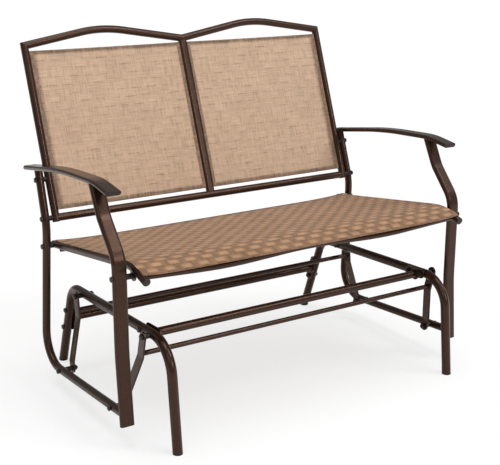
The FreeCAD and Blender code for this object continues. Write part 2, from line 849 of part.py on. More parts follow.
def back_sling():
    """Right-hand back cloth between the centre post and the upright."""
    normal = V(0, -1, back_rake).normalize() * (sling_thick / 2)
    inner_x = post_wide / 2 - sling_reach
    low = back_point(inner_x, back_sling_foot_z)
    high = back_point(inner_x, back_sling_top_z)
    outline = Part.makePolygon([low - normal, high - normal, high + normal, low + normal, low - normal])
    sheet = Part.Face(outline).extrude(V(back_half_width - sling_reach - inner_x, 0, 0))
    return sheet.cut([post_envelope, back_envelope])


save_pair("back_sling", back_sling())
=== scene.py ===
"""Glider bench: woven seat and back cloths, painted steel frame, and a pale studio round them."""

import math

import bpy
from mathutils import Euler, Matrix, Vector


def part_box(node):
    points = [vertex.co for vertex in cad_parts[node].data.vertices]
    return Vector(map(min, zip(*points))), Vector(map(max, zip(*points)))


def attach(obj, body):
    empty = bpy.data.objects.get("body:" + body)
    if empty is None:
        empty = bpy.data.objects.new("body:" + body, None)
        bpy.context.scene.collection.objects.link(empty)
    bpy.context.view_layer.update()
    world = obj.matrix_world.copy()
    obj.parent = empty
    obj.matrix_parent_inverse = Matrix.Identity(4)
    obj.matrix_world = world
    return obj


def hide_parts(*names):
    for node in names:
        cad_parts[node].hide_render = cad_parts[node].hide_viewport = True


bl_info = {
    "name": "Glider bench workshop",
    "version": (1, 0, 0),
    "blender": (4, 5, 0),
    "location": "3D View > Sidebar > Glider bench",
    "description": "Dresses the bench's packed frame with its cloths, welds, paint and studio",
    "category": "Object",
}

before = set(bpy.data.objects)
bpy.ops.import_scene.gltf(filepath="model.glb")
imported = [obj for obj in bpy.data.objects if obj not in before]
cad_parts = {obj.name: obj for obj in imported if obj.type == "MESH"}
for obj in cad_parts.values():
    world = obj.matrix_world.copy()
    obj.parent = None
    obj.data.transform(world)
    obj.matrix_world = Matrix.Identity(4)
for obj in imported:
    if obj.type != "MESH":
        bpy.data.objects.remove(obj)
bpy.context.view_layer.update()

# Places repeated from the frame's source, in metres. Those of the seat rails and of the back are
# distances behind the front feet, with a height, and those of the crossbars are Y and Z
FRONT_FEET_TO_MIDDLE = 0.3647
SEAT_RAIL_X = 0.485
SEAT_RAIL_REAR = (0.580, 0.3856)
SEAT_RAIL_CREST = (0.105, 0.451)
SEAT_RAIL_FRONT = (0.036, 0.430)
SEAT_RAIL_BEND = 0.150
TUBE_RADIUS = 0.010
BACK_FOOT = (0.561, 0.4635)
BACK_RAKE = 0.36
BACK_TUBE_RADIUS = 0.0105
BACK_HALF_WIDTH = 0.483
POST_HALF_WIDTH = 0.013
CROSSBAR_RADIUS = 0.011
CROSSBAR_REACH = 0.4175
FRONT_CROSSBAR = (-0.2307, 0.2611)
REAR_CROSSBAR = (0.2651, 0.146)

COAT_NODES = (
    "base_side_frame_left", "base_side_frame_right", "base_front_crossbar", "base_rear_crossbar",
    "front_link_left", "front_link_right", "rear_link_left", "rear_link_right",
    "front_link_rod", "rear_link_rod", "rear_tube_left", "rear_tube_right",
    "front_arm_leg_left", "front_arm_leg_right", "armrest_left", "armrest_right",
    "seat_side_rail_left", "seat_side_rail_right", "seat_front_rail", "seat_rear_rail",
    "back_frame_tube", "back_bottom_rail", "back_centre_post",
)
PLASTIC_NODES = (
    "front_foot_caps", "rear_foot_caps", "front_link_bushes", "rear_link_bushes",
    "upper_pivot_spacers", "lower_pivot_spacers", "seat_frame_spacers",
    "back_frame_spacers",
)
BROWN_PLASTIC_NODES = ("arm_leg_plugs", "armrest_plugs", "back_upright_plugs", "seat_rail_plugs")
STEEL_NODES = (
    "front_crossbar_bolts", "front_crossbar_nuts", "rear_crossbar_bolts", "rear_crossbar_nuts",
    "upper_pivot_bolts", "upper_pivot_nuts", "lower_pivot_bolts", "lower_pivot_nuts",
    "seat_frame_bolts", "seat_frame_nuts", "back_frame_bolts",
)

# The weave's pattern. Lengths are shares of a float's pitch, heights are shares of a row's height,
# and a pair says where a mark starts to fade and where it is gone, or the least and the most.
# The yarns' marks are drawn out by their numbers per metre across and along the cloth
FLOAT_HALF_LENGTH = (0.16, 0.36)
FLOAT_HALF_HEIGHT = (0.15, 0.42)
FLOAT_MIDDLE = 0.56
DASH_HALF_LENGTHS = (0.14, 0.34)
DASH_END_FADE = 0.04
DASH_HEIGHT = (0.10, 0.14)
YARN_ACROSS = (250.0, 17.0, 1.0)
YARN_ALONG = (20.0, 250.0, 1.0)

# How much each part of the pattern changes the tone
YARN_DEPTH = 0.16
WEAVE_DEPTH = 0.05
CLOUD_DEPTH = 0.04
CHANCE_DEPTH = 0.03
CHANCE_DEPTH_FOR_CONTRAST = 0.12
DARK_BETWEEN_FLOATS = 0.41

# The palest and the darkest yarn, as factors of a cloth's colour
PALE_YARN = (1.67, 1.74, 1.83)
DARK_YARN = (0.34, 0.30, 0.27)

# Added to the counts of floats and rows, so that they stay above zero
COUNT_START = 100.0

# Where most values of a soft noise lie
NOISE_SPAN = (0.3, 0.7)

# How high a stitch lies over the middle of its cloth, as a share of the cloth's thickness
STITCH_LIFT = 0.75


class ClothSizes(bpy.types.PropertyGroup):
    """Sizes and colours of the three cloths."""

    thickness: bpy.props.FloatProperty(
        name="Thickness", description="Thickness of one layer of cloth", default=0.0011, unit="LENGTH")
    thread_pitch: bpy.props.FloatProperty(
        name="Thread pitch", description="Distance between two threads", default=0.0016, unit="LENGTH")
    float_pitch: bpy.props.FloatProperty(
        name="Float pitch", description="Distance between two pale floats in a row", default=0.0458,
        unit="LENGTH")
    row_height: bpy.props.FloatProperty(
        name="Row height", description="Distance between two rows of floats", default=0.0232,
        unit="LENGTH")
    seat_contrast: bpy.props.FloatProperty(
        name="Seat floats", description="How much paler the seat's floats are than the yarns between",
        default=0.50, min=0, max=1, subtype="FACTOR")
    back_contrast: bpy.props.FloatProperty(
        name="Back floats", description="How much paler the back's floats are than the yarns between",
        default=0.03, min=0, max=1, subtype="FACTOR")
    seat_dash: bpy.props.FloatProperty(
        name="Seat dashes", description="How much darker the seat's dashes between the rows are",
        default=0.35, min=0, max=1, subtype="FACTOR")
    back_dash: bpy.props.FloatProperty(
        name="Back dashes", description="How much darker the back's dashes between the rows are",
        default=0.24, min=0, max=1, subtype="FACTOR")
    # The edge shades are painted shade: they darken a cloth where it lies doubled, at the hems and
    # along the side sleeves by the tubes
    seat_edge_shade: bpy.props.FloatProperty(
        name="Seat edges", description="How much darker the seat cloth is where it is doubled",
        default=0.04, min=0, max=1, subtype="FACTOR")
    back_edge_shade: bpy.props.FloatProperty(
        name="Back edges", description="How much darker a back cloth is where it is doubled",
        default=0.50, min=0, max=1, subtype="FACTOR")
    seat_sag: bpy.props.FloatProperty(
        name="Seat sag", description="How far the seat cloth hangs below the tops of its rails",
        default=0.0045, unit="LENGTH")
    seat_belly: bpy.props.FloatProperty(
        name="Seat belly", description="Further sag in the middle of the seat's depth",
        default=0.003, unit="LENGTH")
    back_sag: bpy.props.FloatProperty(
        name="Back sag", description="How far a back cloth bellies to the rear", default=0.006,
        unit="LENGTH")
    wrap_angle: bpy.props.FloatProperty(
        name="Wrap", description="How far the seat cloth goes round a rail past its top",
        default=math.radians(14), subtype="ANGLE")
    seat_hem: bpy.props.FloatProperty(
        name="Seat hem", description="Width that is folded under at the seat's front and rear edges",
        default=0.020, unit="LENGTH")
    back_hem: bpy.props.FloatProperty(
        name="Back hem", description="Width of the sewn edge of a back cloth", default=0.012,
        unit="LENGTH")
    fold_radius: bpy.props.FloatProperty(
        name="Fold radius", description="Radius of the fold at a hem", default=0.0012, unit="LENGTH")
    stitch_length: bpy.props.FloatProperty(
        name="Stitch length", description="Length of one stitch", default=0.0042, unit="LENGTH")
    stitch_gap: bpy.props.FloatProperty(
        name="Stitch gap", description="Gap between two stitches", default=0.0022, unit="LENGTH")
    stitch_width: bpy.props.FloatProperty(
        name="Stitch width", description="Thickness of the sewing thread", default=0.0009,
        unit="LENGTH")
    stitch_dive: bpy.props.FloatProperty(
        name="Stitch dive", description="How far a stitch's ends go into the cloth", default=0.0007,
        unit="LENGTH")
    back_colour: bpy.props.FloatVectorProperty(
        name="Back cloth", description="Main colour of the back cloths", subtype="COLOR",
        default=(0.592, 0.410, 0.283))
    # The seat cloth's colour is darker than the back cloths': this darkness is painted shade, for the
    # seat getting less light than the back. Its stitches take the same colour
    seat_shaded_colour: bpy.props.FloatVectorProperty(
        name="Seat cloth", description="Main colour of the seat cloth", subtype="COLOR",
        default=(0.332, 0.184, 0.096))


class FrameFinish(bpy.types.PropertyGroup):
    """Colours and gloss of the frame, its plastic pieces and its fasteners."""

    coat_colour: bpy.props.FloatVectorProperty(
        name="Coat", description="Colour of the bronze powder coat", subtype="COLOR",
        default=(0.0145, 0.0072, 0.0046))
    coat_roughness: bpy.props.FloatProperty(
        name="Coat roughness", description="Middle roughness of the powder coat",
        default=0.25, min=0, max=1, subtype="FACTOR")
    coat_sheen: bpy.props.FloatVectorProperty(
        name="Coat sheen", description="Tint of what the powder coat reflects", subtype="COLOR",
        default=(1.0, 0.58, 0.44))
    fleck_colour: bpy.props.FloatVectorProperty(
        name="Flecks", description="Colour of the coat's fine metal flecks", subtype="COLOR",
        default=(0.20, 0.13, 0.09))
    scuff_colour: bpy.props.FloatVectorProperty(
        name="Scuffs", description="Colour of dust and small scuffs on the coat", subtype="COLOR",
        default=(0.17, 0.13, 0.105))
    plastic_colour: bpy.props.FloatVectorProperty(
        name="Plastic", description="Colour of caps, plugs and bushes", subtype="COLOR",
        default=(0.014, 0.012, 0.012))
    brown_colour: bpy.props.FloatVectorProperty(
        name="Brown plastic", description="Colour of the plugs that match the paint", subtype="COLOR",
        default=(0.024, 0.014, 0.0105))
    steel_colour: bpy.props.FloatVectorProperty(
        name="Fasteners", description="Colour of the blackened bolts and nuts", subtype="COLOR",
        default=(0.030, 0.026, 0.025))
    weld_radius: bpy.props.FloatProperty(
        name="Weld", description="Radius of a weld bead", default=0.0016, unit="LENGTH")


class StudioSizes(bpy.types.PropertyGroup):
    """The camera, the lamps and the floor."""

    camera_place: bpy.props.FloatVectorProperty(
        name="Camera place", description="Where the camera stands", subtype="TRANSLATION",
        unit="LENGTH", default=(-1.4972, -2.3225, 1.1831))
    camera_turn: bpy.props.FloatProperty(
        name="Camera turn", description="How far the view turns from straight back to the right",
        default=math.radians(32.96), subtype="ANGLE")
    camera_dip: bpy.props.FloatProperty(
        name="Camera dip", description="How far the view points down", default=math.radians(15.94),
        subtype="ANGLE")
    lens: bpy.props.FloatProperty(
        name="Lens", description="Focal length on a 36 mm wide film", default=74.28,
        subtype="DISTANCE_CAMERA")
    left_strength: bpy.props.FloatProperty(
        name="Left light", description="Strength of the lamp from the front left", default=0.25, min=0)
    front_strength: bpy.props.FloatProperty(
        name="Front light", description="Strength of the low lamp that puts a line on leaning tubes",
        default=0.55, min=0)
    right_strength: bpy.props.FloatProperty(
        name="Right light", description="Strength of the lamp from the front right", default=0.7, min=0)
    top_strength: bpy.props.FloatProperty(
        name="Top light", description="Strength of the lamp straight above", default=1.65, min=0)
    sky_strength: bpy.props.FloatProperty(
        name="Sky", description="Strength of the even light from all round", default=0.34, min=0)
    floor_reach: bpy.props.FloatProperty(
        name="Floor", description="Half width of the floor", default=40.0, unit="LENGTH")
    floor_colour: bpy.props.FloatVectorProperty(
        name="Floor colour", description="Colour of the floor", subtype="COLOR",
        default=(0.97, 0.97, 0.97))
    paper_white: bpy.props.FloatProperty(
        name="Paper white", description="How much of the floor is plain white to the camera",
        default=0.7, min=0, max=1, subtype="FACTOR")


# Shaping helpers

def deselect_all():
    """Leave nothing selected, because an operator acts on all that is."""
    if bpy.context.object is not None and bpy.context.object.mode != "OBJECT":
        bpy.ops.object.mode_set(mode="OBJECT")
    bpy.ops.object.select_all(action="DESELECT")


def named(name):
    """Give the active object and its mesh a name."""
    piece = bpy.context.object
    piece.name = name
    piece.data.name = name
    return piece


def take(piece):
    """Select one piece alone and make it the active one."""
    deselect_all()
    piece.select_set(True)
    bpy.context.view_layer.objects.active = piece


def settle(piece):
    """Bring a piece's place, turn and size into its mesh."""
    take(piece)
    bpy.ops.object.transform_apply(location=True, rotation=True, scale=True)
    return piece


def joined(pieces, name):
    """Make several objects one."""
    deselect_all()
    for piece in pieces:
        piece.select_set(True)
    bpy.context.view_layer.objects.active = pieces[0]
    if len(pieces) > 1:
        bpy.ops.object.join()
    return named(name)


def copied(piece):
    """Copy of a piece with a mesh of its own."""
    twin = piece.copy()
    twin.data = piece.data.copy()
    bpy.context.collection.objects.link(twin)
    return twin


def give_thickness(piece, thickness):
    """Turn a sheet into a thin closed body with its middle where the sheet was."""
    take(piece)
    wall = piece.modifiers.new("thickness", "SOLIDIFY")
    wall.thickness = thickness
    wall.offset = 0
    wall.use_even_offset = True
    bpy.ops.object.modifier_apply(modifier=wall.name)
    bpy.ops.object.shade_smooth_by_angle(angle=math.radians(50))
    return piece


def face_outwards():
    """Turn the active closed piece's faces outwards."""
    bpy.ops.object.mode_set(mode="EDIT")
    bpy.ops.mesh.select_all(action="SELECT")
    bpy.ops.mesh.normals_make_consistent(inside=False)
    bpy.ops.object.mode_set(mode="OBJECT")


def extruded_ring(corners, rings):
    """Closed prism of unit rings, extruded upwards ring by ring from a filled circle."""
    deselect_all()
    bpy.ops.mesh.primitive_circle_add(vertices=corners, radius=1, fill_type="NGON", calc_uvs=True)
    bpy.ops.object.mode_set(mode="EDIT")
    bpy.ops.mesh.select_all(action="SELECT")
    for _ in range(rings):
        bpy.ops.mesh.extrude_region_move(TRANSFORM_OT_translate={"value": (0, 0, 1)})
    bpy.ops.object.mode_set(mode="OBJECT")
    return bpy.context.object


def ring_places(mesh, corners):
    """Ring and corner number of each vertex of an extruded ring, whose first corner lies along +Y."""
    step = 2 * math.pi / corners
    places = []
    for vertex in mesh.vertices:
        turn = math.atan2(-vertex.co.x, vertex.co.y)
        places.append((round(vertex.co.z), round(turn / step) % corners))
    return places


def weld_bead(tube_radius, bead_radius, ripples):
    """Ring of overlapping weld ripples round the X axis."""
    ripple_shape = (1.0, 1.4, 0.8)
    deselect_all()
    bpy.ops.mesh.primitive_uv_sphere_add(
        segments=8, ring_count=5, radius=bead_radius, location=(0, 0, tube_radius), scale=ripple_shape)
    ring = settle(bpy.context.object)
    bpy.ops.object.mode_set(mode="EDIT")
    bpy.ops.mesh.select_all(action="SELECT")
    steps = ripples - 1
    bpy.ops.mesh.spin(
        steps=steps, dupli=True, angle=2 * math.pi * steps / ripples, center=(0, 0, 0), axis=(1, 0, 0))
    bpy.ops.object.mode_set(mode="OBJECT")
    face_outwards()
    bpy.ops.object.shade_smooth()
    return ring


# The lines that the frame gives the cloths

def corner_arc(rear, crest, front, bend):
    """Centre of the arc at a crest, and the places where the arc meets its two lines."""
    to_rear = (Vector(rear) - Vector(crest)).normalized()
    to_front = (Vector(front) - Vector(crest)).normalized()
    half = to_rear.angle(to_front) / 2
    reach = bend / math.tan(half)
    centre = Vector(crest) + (to_rear + to_front).normalized() * (bend / math.sin(half))
    return centre, (Vector(crest) + to_front * reach).x, (Vector(crest) + to_rear * reach).x


RAIL_ARC = corner_arc(SEAT_RAIL_REAR, SEAT_RAIL_CREST, SEAT_RAIL_FRONT, SEAT_RAIL_BEND)


def seat_rail_height(y):
    """Height of a seat side rail's centre line at a distance behind the front feet."""
    centre, arc_front, arc_rear = RAIL_ARC
    if arc_front < y < arc_rear:
        return centre.y + math.sqrt(SEAT_RAIL_BEND ** 2 - (y - centre.x) ** 2)
    end = SEAT_RAIL_FRONT if y <= arc_front else SEAT_RAIL_REAR
    share = (y - SEAT_RAIL_CREST[0]) / (end[0] - SEAT_RAIL_CREST[0])
    return SEAT_RAIL_CREST[1] + share * (end[1] - SEAT_RAIL_CREST[1])


def seat_line(y):
    """Point midway between the seat rails, y behind the front feet, and the way up from them there."""
    step = 0.0005
    rise = (seat_rail_height(y + step) - seat_rail_height(y - step)) / (2 * step)
    point = Vector((0, y - FRONT_FEET_TO_MIDDLE, seat_rail_height(y)))
    return point, Vector((0, -rise, 1)).normalized()


def back_line(z):
    """Point of the back's plane at a height, and the plane's forward normal."""
    point = Vector((0, BACK_FOOT[0] - FRONT_FEET_TO_MIDDLE + BACK_RAKE * (z - BACK_FOOT[1]), z))
    return point, Vector((0, -1, BACK_RAKE)).normalized()


class Fold:
    """Where a cloth's flat length goes when both of its ends are folded under and sewn."""

    def __init__(self, run, hem, radius):
        self.run = run
        self.hem = hem
        self.radius = radius
        self.turn = math.pi * radius
        self.length = run + 2 * (hem + self.turn)

    def place(self, along):
        """Distance from the front edge, and depth under the top layer, of a flat place."""
        if along > self.length / 2:
            reach, depth = self.place(self.length - along)
            return self.run - reach, depth
        if along < self.hem:
            return self.hem - along, 2 * self.radius
        if along < self.hem + self.turn:
            angle = (along - self.hem) / self.radius
            return -self.radius * math.sin(angle), self.radius * (1 + math.cos(angle))
        return along - self.hem - self.turn, 0.0

    def doubled(self, along):
        """True where the cloth lies in two layers."""
        reach = self.place(along)[0]
        return reach < self.hem or reach > self.run - self.hem

    def rows(self, pitch):
        """Flat places of the rows of a mesh, close together in the folds."""
        rows = [0.0, self.hem * 0.5, self.hem]
        rows += [self.hem + self.turn * step / 6 for step in range(1, 6)]
        start = self.hem + self.turn
        rows += [start, start + self.hem * 0.5, start + self.hem, start + self.hem + pitch * 0.1]
        single = self.run - 2 * self.hem
        count = max(2, round(single / pitch))
        middle = [start + self.hem + single * step / count for step in range(1, count)]
        return rows + middle + [self.length - row for row in reversed(rows)]


# Cloth meshes: a flat grid of the cut cloth, carried point by point to where it hangs

def cloth_grid(name, columns, rows, carry, doubled):
    """Grid over flat places, with a UV map in metres and a mark where the cloth is doubled."""
    deselect_all()
    bpy.ops.mesh.primitive_grid_add(
        x_subdivisions=len(columns) - 1, y_subdivisions=len(rows) - 1, size=1, calc_uvs=True)
    cloth = named(name)
    mesh = cloth.data
    flats = []
    for vertex in mesh.vertices:
        column = round((vertex.co.x + 0.5) * (len(columns) - 1))
        row = round((vertex.co.y + 0.5) * (len(rows) - 1))
        flats.append((columns[column], rows[row]))
    uv = mesh.uv_layers.active.data
    for loop in mesh.loops:
        uv[loop.index].uv = flats[loop.vertex_index]
    mark = mesh.attributes.new("doubled", "FLOAT", "POINT")
    for vertex, flat in zip(mesh.vertices, flats):
        mark.data[vertex.index].value = doubled(*flat)
        vertex.co = carry(*flat)
    mesh.update()
    return cloth


def stitch(length, width, dive):
    """One stitch: a short thread that dives into the cloth at both ends."""
    half_top = length * 0.28
    end_width = 0.6
    deselect_all()
    bpy.ops.mesh.primitive_cylinder_add(
        vertices=6, radius=width / 2, depth=length, rotation=(0, math.radians(90), 0))
    thread = settle(bpy.context.object)
    bpy.ops.object.mode_set(mode="EDIT")
    for place in (half_top, -half_top):
        bpy.ops.mesh.select_all(action="SELECT")
        bpy.ops.mesh.bisect(plane_co=(place, 0, 0), plane_no=(1, 0, 0))
    bpy.ops.object.mode_set(mode="OBJECT")
    for vertex in thread.data.vertices:
        if abs(vertex.co.x) > half_top * 1.1:
            vertex.co.z -= dive
            vertex.co.y *= end_width
    bpy.ops.object.shade_smooth()
    return thread


def stitch_place(carry, across, along, lift, side=1, upright=False):
    """Place of a stitch over a carried cloth, with the stitch's direction and the cloth's normal."""
    step = 0.001
    way = (carry(across + step, along) - carry(across - step, along)).normalized() * side
    up = (carry(across, along + step) - carry(across, along - step)).normalized()
    normal = way.cross(up).normalized()
    return carry(across, along) + normal * lift, up if upright else way, normal


def stitch_row(name, places, sizes):
    """Row of stitches at (point, along, normal) places, one object."""
    pattern = stitch(sizes.stitch_length, sizes.stitch_width, sizes.stitch_dive)
    threads = [pattern] + [copied(pattern) for _ in places[1:]]
    for thread, (point, along, normal) in zip(threads, places):
        across = normal.cross(along).normalized()
        turn = Matrix((along, across, normal)).transposed()
        thread.matrix_world = Matrix.Translation(point) @ turn.to_4x4()
    return settle(joined(threads, name))


# Materials

class Shader:
    """A material's node tree, with short words for the nodes that this bench needs."""

    def __init__(self, name):
        self.material = bpy.data.materials.new(name)
        self.material.use_nodes = True
        self.tree = self.material.node_tree
        self.surface = self.tree.nodes["Principled BSDF"]

    def node(self, kind, **settings):
        """New node with its properties set."""
        made = self.tree.nodes.new(kind)
        for key, value in settings.items():
            setattr(made, key, value)
        return made

    def join(self, source, target):
        """Link an output to an input."""
        self.tree.links.new(source, target)

    def feed(self, node, inputs):
        """Set or link a node's inputs, named or numbered."""
        for key, value in inputs.items():
            if isinstance(value, bpy.types.NodeSocket):
                self.join(value, node.inputs[key])
            else:
                node.inputs[key].default_value = value
        return node

    def sum(self, operation, first, second=0.0):
        """Result of a Math node."""
        made = self.node("ShaderNodeMath", operation=operation)
        return self.feed(made, {0: first, 1: second}).outputs[0]

    def noise(self, vector, scale, detail=2.0, roughness=0.5):
        """Value of a Noise Texture."""
        made = self.node("ShaderNodeTexNoise")
        inputs = {"Vector": vector, "Scale": scale, "Detail": detail, "Roughness": roughness}
        return self.feed(made, inputs).outputs["Fac"]

    def spread(self, value, low, high, out_low, out_high):
        """Value brought from one range to another, clamped."""
        made = self.node("ShaderNodeMapRange")
        return self.feed(made, {0: value, 1: low, 2: high, 3: out_low, 4: out_high}).outputs[0]

    def mixed(self, share, first, second):
        """Mix of two colours."""
        made = self.node("ShaderNodeMix", data_type="RGBA")
        return self.feed(made, {0: share, 6: first, 7: second}).outputs[2]

    def bump(self, height, distance, strength=1.0, below=None):
        """Normal of a bump, over another bump if one is given."""
        made = self.node("ShaderNodeBump")
        inputs = {"Height": height, "Distance": distance, "Strength": strength}
        if below is not None:
            inputs["Normal"] = below
        return self.feed(made, inputs).outputs["Normal"]

    def finish(self, **sockets):
        """Set the surface's sockets, their names written with underscores."""
        self.feed(self.surface, {key.replace("_", " "): value for key, value in sockets.items()})
        return self.material


def colour(rgb, factor=1.0):
    """Four-number colour, lighter or darker by a factor."""
    return tuple(min(1.0, part * factor) for part in rgb) + (1.0,)


def powder_coat(finish):
    """Dark bronze powder coat: fine orange peel, soft cloudy gloss, pale scuffs and dust."""
    shader = Shader("bronze_powder_coat")
    place = shader.node("ShaderNodeTexCoord").outputs["Object"]
    cloud = shader.noise(place, scale=9.0, detail=3.0)
    fleck = shader.noise(place, scale=1400.0, detail=1.0)
    scuff = shader.noise(place, scale=46.0, detail=6.0, roughness=0.72)
    scuff = shader.spread(scuff, 0.66, 0.74, 0.0, 1.0)
    base = shader.mixed(
        shader.spread(cloud, *NOISE_SPAN, 0.0, 1.0),
        colour(finish.coat_colour, 0.82), colour(finish.coat_colour, 1.22))
    base = shader.mixed(
        shader.spread(fleck, 0.60, 0.75, 0.0, 0.35), base, colour(finish.fleck_colour))
    base = shader.mixed(shader.sum("MULTIPLY", scuff, 0.22), base, colour(finish.scuff_colour))
    rough = shader.spread(
        cloud, *NOISE_SPAN, finish.coat_roughness - 0.05, finish.coat_roughness + 0.07)
    rough = shader.sum("ADD", rough, shader.sum("MULTIPLY", scuff, 0.18))
    fine_peel = shader.noise(place, scale=620.0, detail=2.0)
    wide_peel = shader.noise(place, scale=60.0, detail=1.0)
    peel = shader.bump(fine_peel, distance=0.00012, strength=0.55)
    peel = shader.bump(wide_peel, distance=0.0004, strength=0.25, below=peel)
    return shader.finish(Base_Color=base, Roughness=rough, Normal=peel, Specular_IOR_Level=0.5,
                         Specular_Tint=colour(finish.coat_sheen))


def moulded_plastic(name, tint):
    """Moulded plastic with a fine spark-eroded grain and greyer worn patches."""
    shader = Shader(name)
    place = shader.node("ShaderNodeTexCoord").outputs["Object"]
    worn = shader.noise(place, scale=70.0, detail=4.0, roughness=0.65)
    worn = shader.spread(worn, 0.55, 0.75, 0.0, 1.0)
    base = shader.mixed(worn, colour(tint), colour(tint, 1.8))
    rough = shader.spread(worn, 0.0, 1.0, 0.42, 0.60)
    grain = shader.bump(shader.noise(place, scale=1600.0, detail=2.0), distance=0.0001, strength=0.5)
    return shader.finish(Base_Color=base, Roughness=rough, Normal=grain, Specular_IOR_Level=0.3)


def black_steel(finish):
    """Blackened steel of bolts and nuts: dark oxide with paler rubbed patches."""
    shader = Shader("black_steel")
    place = shader.node("ShaderNodeTexCoord").outputs["Object"]
    rubbed = shader.noise(place, scale=260.0, detail=5.0, roughness=0.7)
    rubbed = shader.spread(rubbed, 0.58, 0.72, 0.0, 1.0)
    base = shader.mixed(shader.sum("MULTIPLY", rubbed, 0.5),
                        colour(finish.steel_colour), colour(finish.steel_colour, 5.0))
    rough = shader.spread(rubbed, 0.0, 1.0, 0.34, 0.48)
    turned = shader.bump(shader.noise(place, scale=900.0, detail=3.0), distance=0.00008, strength=0.5)
    return shader.finish(Base_Color=base, Roughness=rough, Normal=turned, Metallic=0.2,
                         Specular_IOR_Level=0.35)


def sewing_thread(tint):
    """Twisted sewing thread a shade darker than its cloth."""
    shader = Shader("sewing_thread")
    place = shader.node("ShaderNodeTexCoord").outputs["Object"]
    twist = shader.noise(place, scale=2400.0, detail=2.0)
    base = shader.mixed(twist, colour(tint, 0.55), colour(tint, 0.85))
    relief = shader.bump(twist, distance=0.0002, strength=0.6)
    return shader.finish(Base_Color=base, Roughness=0.8, Normal=relief)


def float_bricks(shader, across, along, sizes):
    """How far each place is in a pale float and in a dark dash, and the chance number of its float."""
    row = shader.sum("ADD", shader.sum("DIVIDE", along, sizes.row_height), COUNT_START)
    step_aside = shader.sum("MULTIPLY", shader.sum("MODULO", shader.sum("FLOOR", row), 2.0), 0.5)
    column = shader.sum("ADD", shader.sum("DIVIDE", across, sizes.float_pitch), COUNT_START)
    column = shader.sum("ADD", column, step_aside)
    cell = shader.feed(shader.node("ShaderNodeCombineXYZ"), {
        0: shader.sum("FLOOR", column), 1: shader.sum("FLOOR", row), 2: 0.0})
    chance = shader.feed(shader.node("ShaderNodeTexWhiteNoise", noise_dimensions="2D"), {
        "Vector": cell.outputs[0]}).outputs["Value"]

    off_centre = shader.sum("ABSOLUTE", shader.sum("SUBTRACT", shader.sum("FRACT", column), 0.5))
    row_place = shader.sum("FRACT", row)
    off_middle = shader.sum("ABSOLUTE", shader.sum("SUBTRACT", row_place, FLOAT_MIDDLE))
    weft_float = shader.sum("MULTIPLY", shader.spread(off_centre, *FLOAT_HALF_LENGTH, 1.0, 0.0),
                            shader.spread(off_middle, *FLOAT_HALF_HEIGHT, 1.0, 0.0))

    dash_end = shader.spread(chance, 0.0, 1.0, *DASH_HALF_LENGTHS)
    past_end = shader.sum("SUBTRACT", off_centre, dash_end)
    dash = shader.sum("MULTIPLY", shader.spread(past_end, 0.0, DASH_END_FADE, 1.0, 0.0),
                      shader.spread(row_place, *DASH_HEIGHT, 1.0, 0.0))
    faintness = shader.spread(chance, 0.15, 0.9, 0.15, 1.0)
    return weft_float, shader.sum("MULTIPLY", dash, faintness), chance


def yarn_marks(shader, uv, weft_float):
    """Uneven tone of the single yarns, upright ones between the floats and crosswise ones on them."""
    tones = []
    for stretch in (YARN_ACROSS, YARN_ALONG):
        drawn_out = shader.feed(shader.node("ShaderNodeMapping"), {0: uv, 3: stretch}).outputs[0]
        grain = shader.noise(drawn_out, scale=1.0, detail=2.0, roughness=0.7)
        tones.append(shader.spread(grain, 0.32, 0.68, -1.0, 1.0))
    upright = shader.sum("MULTIPLY", tones[0], shader.spread(weft_float, 0.0, 1.0, 1.0, 0.4))
    crosswise = shader.sum("MULTIPLY", tones[1], shader.spread(weft_float, 0.0, 1.0, 0.5, 1.0))
    return shader.sum("ADD", upright, crosswise)


